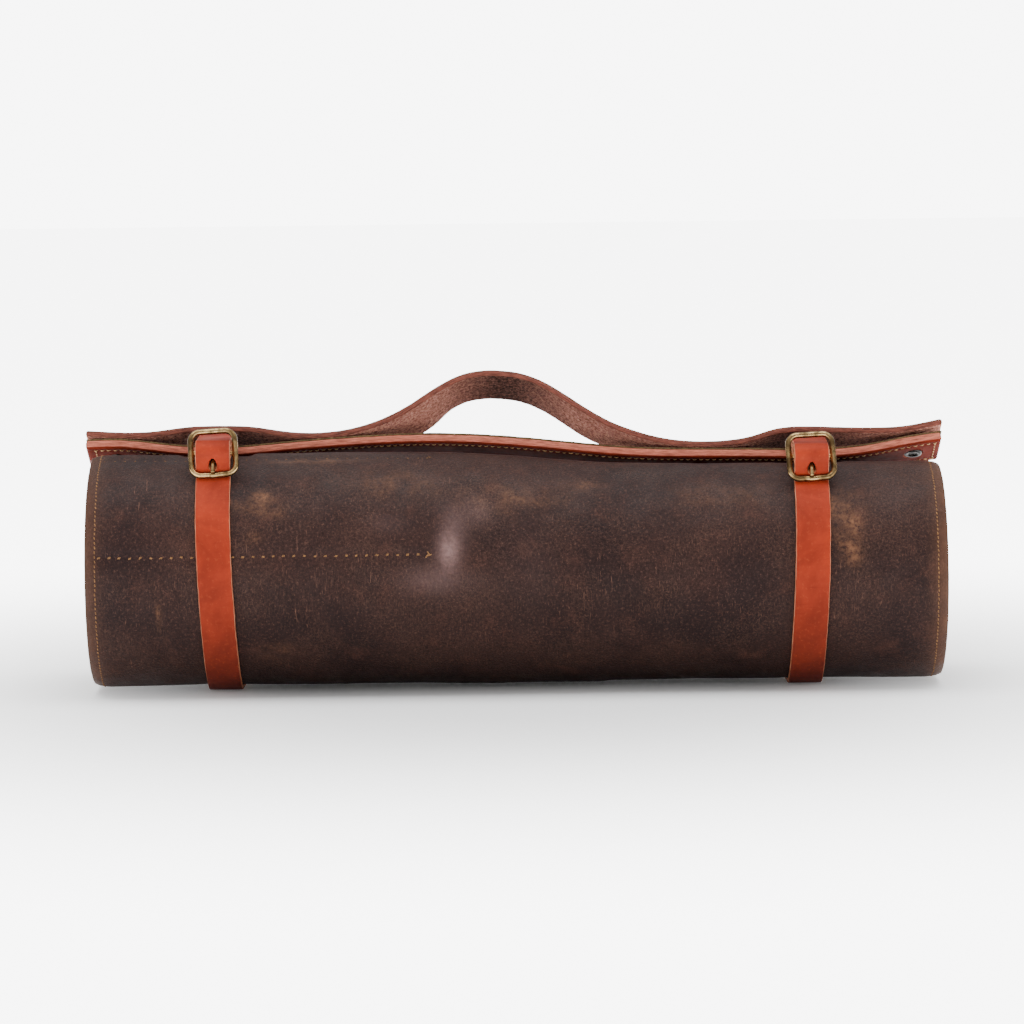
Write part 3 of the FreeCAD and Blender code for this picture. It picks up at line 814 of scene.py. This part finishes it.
def stitches(name, marks, body, material):
    """marks: (middle, direction along, direction up, length, width, height) of each thread."""
    form, form_faces = thread_form()
    verts, faces = [], []
    for middle, along, up, length, width, height in marks:
        along, up = np.asarray(along, float), np.asarray(up, float)
        along = along / np.linalg.norm(along)
        sidewise = np.cross(up, along)
        sidewise /= np.linalg.norm(sidewise)
        up = np.cross(along, sidewise)
        base = len(verts) * len(form)
        placed = (np.asarray(middle) + form[:, :1] * length * along + form[:, 1:2] * width * sidewise
                  + form[:, 2:] * height * up)
        verts.append(placed)
        faces += [tuple(base + k for k in f) for f in form_faces]
    obj = new_object(name, np.concatenate(verts), faces, materials=(material,))
    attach(obj, body)
    return obj


def on_roll(x, angle, lift=0.0):
    """Point on the roll's outer face and the face's normal there."""
    t = (angle - FREE_EDGE_ANGLE) / 360.0
    radius = sheet_radius(t) + float(sheet_relief(x, angle)) * float(1.0 - smooth((t - 0.88) / 0.1)) + lift
    y, z = at(radius, angle)
    a = math.radians(angle)
    return np.array([x, y, z - float(slim(x))]), np.array([0.0, -math.sin(a), math.cos(a)])


def roll_stitches():
    marks = []
    pitch, length = 2.2, 1.75
    step = math.degrees(pitch / ROLL_RADIUS)
    for side in (-1, 1):
        angle = FREE_EDGE_ANGLE + 4.0
        while angle < FREE_EDGE_ANGLE + 322.0:
            x = side * (ROLL_END - EDGE_SEAM_INSET) + rng.uniform(-0.12, 0.12)
            middle, up = on_roll(x, angle)
            ahead, _ = on_roll(x, angle + 0.5)
            along = ahead - middle
            along = along / np.linalg.norm(along) + np.array([rng.uniform(0.12, 0.3), 0, 0])
            marks.append((middle, along, up, length * rng.uniform(0.9, 1.1), 0.55, 0.42))
            angle += step
    stitches("edge_seam_threads", marks, "roll", TAN_THREAD)
    marks = []
    pitch = 4.76
    for seam, size in zip(DIVIDER_ANGLES, (0.55, 1.0, 1.0)):
        x = -ROLL_END + EDGE_SEAM_INSET + 2.0
        while x < DIVIDER_END:
            middle, up = on_roll(x, seam + rng.uniform(-0.25, 0.25))
            yaw = rng.uniform(-0.3, 0.3)
            tangent = np.cross(up, (1, 0, 0))
            for tilt, long in ((0.5 + yaw, 1.9 * size), (-0.6 + yaw, 1.5 * size)):
                along = np.array([math.cos(tilt), 0, 0]) + math.sin(tilt) * tangent
                marks.append((middle, along, up, long * rng.uniform(0.85, 1.1), 0.6 * size, 0.45 * size))
            x += pitch * rng.uniform(0.96, 1.04)
        for k in range(3):
            middle, up = on_roll(DIVIDER_END + 0.5 + 0.7 * k, seam + (0.8, -0.6, 0.3)[k])
            along = np.array([0.6, 0, 0]) + (0.9, -0.9, 0.2)[k] * np.cross(up, (1, 0, 0))
            marks.append((middle, along, up, 2.2 * size, 0.65 * size, 0.6 * size))
    stitches("divider_seam_threads", marks, "roll", TAN_THREAD)


# ---- straps ----

def belt(start, wheels, end_angle):
    """Lines and arcs of a path round wheels of (centre, radius, turn), in the plane front + 1j * up."""
    chain = [(start, 0.0, 1)] + wheels
    headings = []
    for (c1, r1, s1), (c2, r2, s2) in zip(chain, chain[1:]):
        gap, k = c2 - c1, s1 * r1 - s2 * r2
        way = gap / (math.sqrt(max(0.0, abs(gap) ** 2 - k * k)) - 1j * k)
        headings.append(way / abs(way))
    pieces = []
    for i, (centre, radius, turn) in enumerate(wheels):
        c1, r1, s1 = chain[i]
        leave = c1 + s1 * r1 * -1j * headings[i]
        meet = centre + turn * radius * -1j * headings[i]
        if abs(meet - leave) > 1e-4:
            pieces.append(("line", leave, meet))
        a0 = cmath.phase(meet - centre)
        if i + 1 < len(wheels):
            a1 = cmath.phase(turn * -1j * headings[i + 1])
        else:
            a1 = math.radians(90.0 - end_angle)
        sweep = (a1 - a0) * turn % (2 * math.pi)
        if 1e-4 < sweep * radius and sweep < 2 * math.pi - 1e-6:
            pieces.append(("arc", centre, radius, turn, a0, turn * sweep))
    return pieces


def bar_direction():
    """Direction in a buckle's plane from its lower bar to its upper one."""
    return 1j * cmath.exp(1j * math.radians(BUCKLE_LEAN))


def tunnel_bend(side):
    distance = TUNNEL_RADIUS[side] - TUNNEL_BEND_RADIUS
    return distance * cmath.exp(1j * math.radians(90.0 - TUNNEL_END_ANGLE))


def strap_wheels(side):
    centre, bend, body, tunnel = bar_centre(side), tunnel_bend(side), around(side), TUNNEL_RADIUS[side]
    lower = centre - bar_direction() * BAR_PITCH / 2
    foot_r = body - FOOT_BEND_R
    foot_up = -(body - FOOT_FLAT - FOOT_BEND_R)
    foot_out = math.sqrt(foot_r ** 2 - foot_up ** 2)
    start = complex(7.0, tunnel - LAYER_STEP - 0.1)
    return start, [(centre, FOLD_R, 1), (0j, tunnel, 1), (bend, TUNNEL_BEND_RADIUS, 1), (0j, body, 1),
                   (complex(-foot_out, foot_up), FOOT_BEND_R, 1),
                   (complex(foot_out, foot_up), FOOT_BEND_R, 1),
                   (0j, body, 1), (lower, abs(lower) - body - 0.1, -1), (centre, OVER_FOLD_R, 1),
                   (0j, tunnel + LAYER_STEP, 1), (bend, TUNNEL_BEND_RADIUS + LAYER_STEP, 1)]


def along_path(pieces, step=1.3, turn_step=math.radians(8)):
    """Points and leftward normals along lines and arcs, close enough to look round."""
    points, normals = [], []
    for piece in pieces:
        if piece[0] == "line":
            a, b = piece[1], piece[2]
            count = max(1, round(abs(b - a) / step))
            way = (b - a) / abs(b - a)
            new = [(a + (b - a) * k / count, 1j * way) for k in range(count + 1)]
        else:
            _, centre, radius, turn, a0, sweep = piece
            count = max(2, round(abs(sweep) * radius / step), round(abs(sweep) / turn_step))
            new = []
            for k in range(count + 1):
                spoke = cmath.exp(1j * (a0 + sweep * k / count))
                new.append((centre + radius * spoke, -turn * spoke))
        if points:
            new = new[1:]
        points += [p for p, _ in new]
        normals += [n for _, n in new]
    return np.array(points), np.array(normals)


def strap(side):
    """The strap's grain faces outward: on the right of its path, which starts under the buckle's bar."""
    start, wheels = strap_wheels(side)
    pieces = belt(start, wheels, TAIL_END_ANGLE)
    points, normals = along_path(pieces)
    middle = strap_middle(side)
    outer = points - normals * STRAP_T / 2
    axis_z = AXIS_Z - float(slim(middle))
    centres = np.column_stack([np.full(len(points), middle), -outer.real, axis_z + outer.imag])
    face = np.column_stack([np.zeros(len(points)), normals.real, -normals.imag])
    run = np.concatenate([[0.0], np.cumsum(np.abs(np.diff(points)))])
    to_tip = run[-1] - run
    half = STRAP_W / 2 * np.sqrt(np.clip(1 - np.square(np.clip(1 - to_tip / 7.0, 0, 1)), 0.02, 1))
    drift = {"left": 3.2, "right": -2.8}[side]
    angle = np.degrees(np.arctan2(points.real, points.imag)) % 360.0
    on_body = np.abs(points) < around(side) + 1.5
    lean = smooth((angle - 35.0) / 115.0) * (1 - smooth((angle - 200.0) / 95.0))
    shift = np.where(on_body, drift * lean, 0.0)

    def relief(along, across):
        spot = np.stack([along, across], axis=-1)
        crown = -0.12 * np.square(across / (STRAP_W / 2)) ** 2
        return crown + 0.06 * wobble(spot, 14.0, 2.0 + middle)

    obj, spot = strip(f"strap_{side}_leather", centres, face, (1, 0, 0), half, STRAP_T, 12,
                      (STRAP_GRAIN, STRAP_FLESH, STRAP_EDGE), bevel=0.5, back_bevel=0.25, relief=relief,
                      fray=0.22, grain_round=1, shift=shift)
    # Painted shade: darker on the strap's lower part round the roll, which the overhead light reaches less.
    low = smooth((angle - 70.0) / 90.0) * smooth((320.0 - angle) / 80.0) * on_body
    paint(obj, "painted_low_shade", np.repeat(0.62 * low[:, None], spot.shape[1], 1))
    cut_holes(obj, side)
    stands_for(obj, f"strap_{side}", f"strap_{side}")
    return obj


def spot_in_plane(p, x):
    return np.array([x, -p.real, AXIS_Z - float(slim(x)) + p.imag])


def cutter(name, start, way, x, radius, length):
    """A rod that punches a hole into a strap, along way in the strap's plane."""
    begin = spot_in_plane(start, x)
    end = spot_in_plane(start + way * length, x)
    normal = np.cross((end - begin) / length, (1, 0, 0))
    return tube(name, [begin, end], radius, normal, False, (STRAP_FLESH,), 28)


def cut_holes(obj, side):
    """The prong's slot in the fold, its teardrop hole in the tail, and the tail's spare holes."""
    x, centre = strap_middle(side), bar_centre(side)
    slot_end = (PRONG_EYE_W + 0.6) / 2
    ends = [spot_in_plane(centre, x - slot_end), spot_in_plane(centre, x + slot_end)]
    slot_r = FOLD_R + STRAP_T / 2 + 0.12
    cutters = [tube("slot", ends, slot_r, (0, 0, 1), False, (STRAP_FLESH,), 40)]
    heading = prong_heading()
    near = OVER_FOLD_R - STRAP_T / 2 - 0.4
    for number, (tilt, radius) in enumerate(((-3.0, 2.05), (6.0, 1.85), (15.0, 1.5), (24.0, 1.05))):
        way = heading * cmath.exp(1j * math.radians(tilt))
        cutters.append(cutter(f"prong_hole_{number}", centre + way * near, way, x, radius, 5.0))
    tail_runs = ((0j, TUNNEL_RADIUS[side]), (tunnel_bend(side), TUNNEL_BEND_RADIUS))
    for number, ((middle, radius), angle) in enumerate(zip(tail_runs, TAIL_HOLES)):
        way = cmath.exp(1j * math.radians(90.0 - angle))
        start = middle + way * (radius + LAYER_STEP - STRAP_T / 2 - 0.26)
        cutters.append(cutter(f"tail_hole_{number}", start, way, x, 1.8, 8.0))
    combine(obj, cutters, "DIFFERENCE")


def prong_heading():
    down = -bar_direction()
    rise = math.asin((BUCKLE_WIRE_R + PRONG_R + 0.05) / (BAR_PITCH / 2))
    return down * cmath.exp(1j * rise)


# ---- buckles ----

BUCKLE_TURN = {"left": 3.5, "right": 3.0}     # how far a frame is turned in its plane, its right side up
WORN_CORNER_R = BUCKLE_CORNER_R + 1.1
WORN_BAR_R = 0.82 * BUCKLE_BAR_R
PRONG_DENT = 0.3                              # in the lower bar, where the prong rests


def frame_outline(half_w, half_h, corner, straight=7, bend=11):
    """Points round a rounded rectangle, as many on each side."""
    arcs = []
    for cx, cy, start in ((1, 1, 0), (-1, 1, 90), (-1, -1, 180), (1, -1, 270)):
        a = np.radians(np.linspace(start, start + 90, bend + 1))
        centre = np.array([cx * (half_w - corner), cy * (half_h - corner)])
        arcs.append(centre + corner * np.column_stack([np.cos(a), np.sin(a)]))
    points = []
    for arc, following in zip(arcs, arcs[1:] + arcs[:1]):
        points += [arc, np.linspace(arc[-1], following[0], straight + 1)[1:-1]]
    return np.concatenate(points)


def buckle(side):
    x, centre, up = strap_middle(side), bar_centre(side), bar_direction()
    roll = math.radians(BUCKLE_TURN[side])
    plane_up = np.array([0.0, -up.real, up.imag])
    v = np.array([-math.sin(roll), 0, 0]) + math.cos(roll) * plane_up
    u = np.array([math.cos(roll), 0, 0]) + math.sin(roll) * plane_up
    n = np.cross(u, v)
    middle = spot_in_plane(centre, x)
    reach = BUCKLE_W / 2 - BUCKLE_WIRE_R
    flat = frame_outline(reach, BAR_PITCH / 2, WORN_CORNER_R)
    ring = middle + flat[:, :1] * u + flat[:, 1:] * v
    dent = PRONG_DENT * bell(flat[:, 0], 2.2) * (flat[:, 1] < 0)
    ring = ring - dent[:, None] * v
    girth = BUCKLE_WIRE_R * (1 + 0.035 * wobble(ring, 3.0, 1.0))
    obj = tube(f"buckle_{side}_frame", ring, girth, n, True, (BRASS,), 20, 0.94)
    bar_points = [middle + np.array([1.0, 0, 0]) * reach * s for s in np.linspace(-1, 1, 12)]
    bar = tube("bar", bar_points, WORN_BAR_R, n, False, (BRASS,), 20)
    combine(obj, [bar], "UNION")
    smooth_shade(obj)
    stands_for(obj, f"buckle_frame_{side}", f"buckle_{side}")


def smooth_shade(obj):
    obj.data.polygons.foreach_set("use_smooth", [True] * len(obj.data.polygons))


def prong(side):
    x, centre, heading = strap_middle(side), bar_centre(side), prong_heading()
    eye_r = (BUCKLE_BAR_R + PRONG_EYE_R + 0.06) / 2
    girth = (PRONG_EYE_R - BUCKLE_BAR_R - 0.06) / 2
    eye_points = [spot_in_plane(centre + eye_r * heading * cmath.exp(1j * a), x)
                  for a in np.linspace(0, 2 * math.pi, 40, endpoint=False)]
    obj = tube(f"buckle_{side}_prong", eye_points, girth, (1, 0, 0), True, (BRASS,), 16,
               PRONG_EYE_W / 2 / girth * 0.92)
    reach = np.linspace(1.9, PRONG_LENGTH - 0.5, 26)
    rod, radii = [], []
    for r in reach:
        share = (r - reach[0]) / (reach[-1] - reach[0])
        bow = 0.25 * math.sin(math.pi * share) - 0.12 * share ** 4
        rod.append(spot_in_plane(centre + heading * r + heading * -1j * -bow, x))
        tip = max(0.0, (share - 0.9) / 0.1)
        radii.append((PRONG_R + 0.08 - 0.26 * share) * math.sqrt(max(0.03, 1 - tip ** 2)))
    shank = tube("shank", rod, radii, (1, 0, 0), False, (BRASS,), 18, 1.05)
    combine(obj, [shank], "UNION")
    smooth_shade(obj)
    stands_for(obj, f"buckle_prong_{side}", f"prong_{side}")


# ---- carrier ----

def through(points, x):
    """A natural cubic curve through (x, height) points, and its slope, at each x."""
    px, py = np.array(points, float).T
    n, h = len(px), np.diff(px)
    system, right = np.eye(n), np.zeros(n)
    for i in range(1, n - 1):
        system[i, i - 1:i + 2] = h[i - 1], 2 * (h[i - 1] + h[i]), h[i]
        right[i] = 6 * ((py[i + 1] - py[i]) / h[i] - (py[i] - py[i - 1]) / h[i - 1])
    second = np.linalg.solve(system, right)
    i = np.clip(np.searchsorted(px, x) - 1, 0, n - 2)
    a, b = (px[i + 1] - x) / h[i], (x - px[i]) / h[i]
    bend = (a ** 3 - a) * second[i] + (b ** 3 - b) * second[i + 1]
    height = a * py[i] + b * py[i + 1] + bend * h[i] ** 2 / 6
    slope = ((py[i + 1] - py[i]) / h[i]
             + ((1 - 3 * a ** 2) * second[i] + (3 * b ** 2 - 1) * second[i + 1]) * h[i] / 6)
    return height, slope


SEAM_INSET = 3.0
TILT = Matrix.Rotation(math.radians(CARRIER_ANGLE), 3, "X")


def turned_by_tilt(vectors):
    return np.asarray(vectors, float) @ np.array(TILT).T


def on_carrier(points):
    """Points (x, across, height) of the upright carrier as world millimetres."""
    return turned_by_tilt(points) + np.array([0, 0, AXIS_Z])


def carrier_strip(name, line, rise, thickness, faces_up, count, columns, materials, node, slot, sag=None,
                  **more):
    """One strip of the carrier with its grain face rise above the line, facing up or down.

    sag(x) is how much steeper it leans there, about its front edge."""
    x = np.linspace(-CARRIER_END - 1.5, CARRIER_END, count)
    height, slope = through(line, x)
    way = 1.0 if faces_up else -1.0
    normals = np.column_stack([-slope, np.zeros(count), np.ones(count)]) * way
    normals /= np.linalg.norm(normals, axis=1)[:, None]
    centres = on_carrier(np.column_stack([x, np.zeros(count), height + rise]))
    across = turned_by_tilt([(0, 1, 0)])[0]
    if sag is not None:
        lean = sag(x)[:, None]
        more["relief"] = lambda along, side: -lean * (side + CARRIER_W / 2)
    obj, _ = strip(name, centres, turned_by_tilt(normals), across, CARRIER_W / 2, thickness, columns,
                   materials, **more)
    stands_for(obj, node, "carrier")
    return obj


def nap_relief(depth, seed):
    def relief(along, side):
        spot = np.stack([along, side], axis=-1)
        return depth * (0.6 * wobble(spot, 1.6, seed) + 0.4 * wobble(spot, 4.5, seed + 3))
    return relief


def handle_sag(x):
    """How much steeper the handle strap leans at x than the base."""
    arch = 0.075 * smooth((75.0 + x) / 55.0) * smooth((60.0 - x) / 50.0)
    return arch + 0.15 * bell(x + 47.0, 11.0) + 0.04 * bell(x - 36.0, 12.0)


def carrier():
    def seam_groove(along, side):
        return -0.28 * bell(np.abs(side) - CARRIER_W / 2 + SEAM_INSET, 0.7)

    base = carrier_strip("carrier_base_leather", BASE_LINE, 0.0, BASE_T, False, 520, 26,
                         (BASE_GRAIN, LINING, BASE_EDGE), "carrier_base", "russet_leather",
                         bevel=0.8, back_bevel=0.25, fray=0.16, relief=seam_groove)
    carrier_strip("carrier_lining_suede", BASE_LINE, BASE_T + LINING_T, LINING_T - 0.02, True, 520, 26,
                  (LINING, LINING, LINING), "carrier_lining", "lining_suede",
                  bevel=0.3, back_bevel=0.1, fray=0.45, relief=nap_relief(0.08, 4.0))
    handle = carrier_strip("handle_strap_leather", HANDLE_LINE, 0.0, HANDLE_T, True, 640, 34,
                           (HANDLE_GRAIN, HANDLE_FLESH, HANDLE_EDGE), "handle_strap", "handle_leather",
                           bevel=0.9, back_bevel=0.35, fray=0.3, back_relief=nap_relief(0.16, 7.0),
                           sag=handle_sag)
    x = np.array([v.co.x for v in handle.data.vertices]) / MM
    # Painted shade on the handle's flesh side: under its peak and in the dark gaps by the straps.
    shade_by_straps = 0.85 * bell(x + 138.0, 34.0) + 0.85 * bell(x - 136.0, 32.0)
    paint(handle, "painted_shade", bell(x + 4.0, 32.0) + shade_by_straps)
    rivets(base)
    carrier_stitches()


def rivets(base):
    """Heads sunk into pits in the base's underside, and domed caps on the handle strap."""
    up = turned_by_tilt([(0, 0, 1)])[0]
    for number, x in enumerate(RIVET_X, 1):
        foot = on_carrier([(x, 0, 0)])[0]
        low, _ = through(BASE_LINE, np.array([x]))
        tops, _ = through(HANDLE_LINE, x + np.array([-RIVET_HEAD_R, 0.0, RIVET_HEAD_R]))
        floor, high = float(low[0]) + RIVET_SUNK, float(tops.max())
        bottom, rest = floor - RIVET_HEAD_T, high + 0.05
        head = [(0.0, bottom + 0.55), (0.9, bottom + 0.5), (1.25, bottom + 0.3), (1.45, bottom + 0.42),
                (1.7, bottom + 0.72), (2.1, bottom + 0.66), (2.35, bottom + 0.22), (2.8, bottom + 0.02),
                (3.5, bottom), (4.05, bottom + 0.16), (4.32, bottom + 0.5), (RIVET_HEAD_R, bottom + 0.9),
                (4.3, floor), (2.0, floor), (1.98, high + 0.1), (0.0, high + 0.1)]
        cap = [(0.0, rest), (4.25, rest), (RIVET_HEAD_R, rest + 0.18)]
        for k in range(1, 9):
            a = math.radians(12 + 78 * k / 8)
            cap.append((RIVET_HEAD_R * math.cos(a), rest + 0.1 + (RIVET_HEAD_T - 0.15) * math.sin(a)))
        for name, node, profile in ((f"carrier_rivet_{number}_head", f"carrier_rivet_{number}", head),
                                    (f"carrier_rivet_{number}_cap", f"carrier_rivet_cap_{number}", cap)):
            stands_for(turned(name, profile, foot, up, (STEEL,)), node, "carrier")
        pit_r, pit_top = RIVET_HEAD_R + 0.2, floor + 0.05
        pit = [(0.0, bottom - 8), (pit_r, bottom - 8), (pit_r, pit_top), (0.0, pit_top)]
        combine(base, [turned("pit", pit, foot, up, (BASE_EDGE,))], "DIFFERENCE")


def carrier_stitches():
    """The base's seam, seen on its underside and, through the lining, on its upper face."""
    pitch, length = 3.1, 2.1
    to_side = CARRIER_W / 2 - SEAM_INSET
    to_end = CARRIER_END - SEAM_INSET
    for name, rise, way, material in (("base_seam_threads", 0.0, -1.0, CREAM_THREAD),
                                      ("lining_seam_threads", BASE_T + LINING_T, 1.0, TAN_THREAD)):
        marks = []

        def mark(x, across, height, slope, sunk, along, long):
            middle = on_carrier([(x, across, height + rise - way * sunk)])[0]
            up = turned_by_tilt([(-slope * way, 0, way)])[0]
            marks.append((middle, turned_by_tilt([along])[0], up, long, 0.7, 0.55))

        along_x = np.arange(-to_end, to_end, pitch)
        for side in (-1, 1):
            for x, height, slope in zip(along_x, *through(BASE_LINE, along_x)):
                along = (1, 0.12 * side * rng.uniform(0.4, 1.4), slope)
                mark(x, side * to_side, height, slope, 0.12, along, length * rng.uniform(0.92, 1.08))
        for side in (-1, 1):
            (height,), (slope,) = through(BASE_LINE, np.array([side * to_end]))
            for across in np.arange(-to_side + pitch / 2, to_side, pitch):
                mark(side * to_end, across, height, slope, 0.05, (0.1, 1, 0), length)
        stitches(name, marks, "carrier", material)


# ---- scene ----

WHITE = (1.0, 1.0, 1.0, 1.0)


def stage():
    """A white sweep that glows away from the case, a white wall behind it and an overhead softbox."""
    bpy.ops.mesh.primitive_plane_add(size=16.0, location=(0, 0, 0))
    floor = bpy.context.object
    floor.name = "floor"
    s = Shader("glowing_floor")
    here = s.place()
    far = s.node("ShaderNodeVectorMath", {0: here}, operation="LENGTH").outputs["Value"]
    # Painted light: the floor itself glows, not at all round the case and more the farther off it is.
    s.put(s.bsdf.inputs["Emission Color"], WHITE)
    s.put(s.bsdf.inputs["Emission Strength"], s.band(far, 0.1, 0.65, 0.0, 6.0))
    tone = s.mix(s.noise(here, 3.0, 2.0), (241, 241, 241), (246, 246, 246))
    floor.data.materials.append(s.finish(tone, 0.8, Specular_IOR_Level=0.1))
    w = Shader("studio", bpy.data.worlds)
    way = w.node("ShaderNodeSeparateXYZ", {0: w.node("ShaderNodeTexCoord").outputs["Generated"]}).outputs
    behind = w.times(w.band(way[1], 0.3, 0.9, 0.0, 7.5), w.band(way[2], 0.16, 0.05))
    background = w.tree.nodes["Background"]
    w.put(background.inputs[0], WHITE)
    w.put(background.inputs[1], w.math("ADD", behind, w.band(way[2], 0.05, 0.9, 0.3, 1.3)))
    bpy.context.scene.world = w.owner
    for name, place, size, power in (("top", (0.0, -0.1, 1.7), (2.2, 1.2), 40.0),
                                     ("front", (-0.7, -2.2, 0.9), (1.2, 0.8), 8.0)):
        light = bpy.data.lights.new(name, "AREA")
        light.shape = "RECTANGLE"
        light.size, light.size_y = size
        light.energy = power
        lamp = bpy.data.objects.new(name, light)
        lamp.location = place
        to_case = Vector((0, 0, 0.06)) - Vector(place)
        lamp.rotation_euler = to_case.to_track_quat("-Z", "Y").to_euler()
        bpy.context.scene.collection.objects.link(lamp)


def camera():
    """Seen from the front, a little above; the roll lies low and slightly right in the frame."""
    distance, elevation = 2.1, math.radians(6.0)
    aim_up, aim_right, level = 0.0259, -0.002, math.radians(-0.69)
    target = Vector((0, 0, AXIS_Z * MM))
    back = Vector((0, -math.cos(elevation), math.sin(elevation)))
    up = Vector((0, math.sin(elevation), math.cos(elevation)))
    data = bpy.data.cameras.new("camera")
    data.lens = 155.7
    data.sensor_width = 36.0
    obj = bpy.data.objects.new("camera", data)
    obj.location = target + back * distance
    aim = target + up * aim_up + Vector((aim_right, 0, 0))
    facing = (aim - obj.location).to_track_quat("-Z", "Y")
    obj.rotation_euler = (facing @ Quaternion((0, 0, 1), level)).to_euler()
    bpy.context.scene.collection.objects.link(obj)
    bpy.context.scene.camera = obj


outer_sheet()
pocket_panel()
inner_flap()
roll_stitches()
for strap_side in ("left", "right"):
    strap(strap_side)
    buckle(strap_side)
    prong(strap_side)
carrier()
stage()
camera()
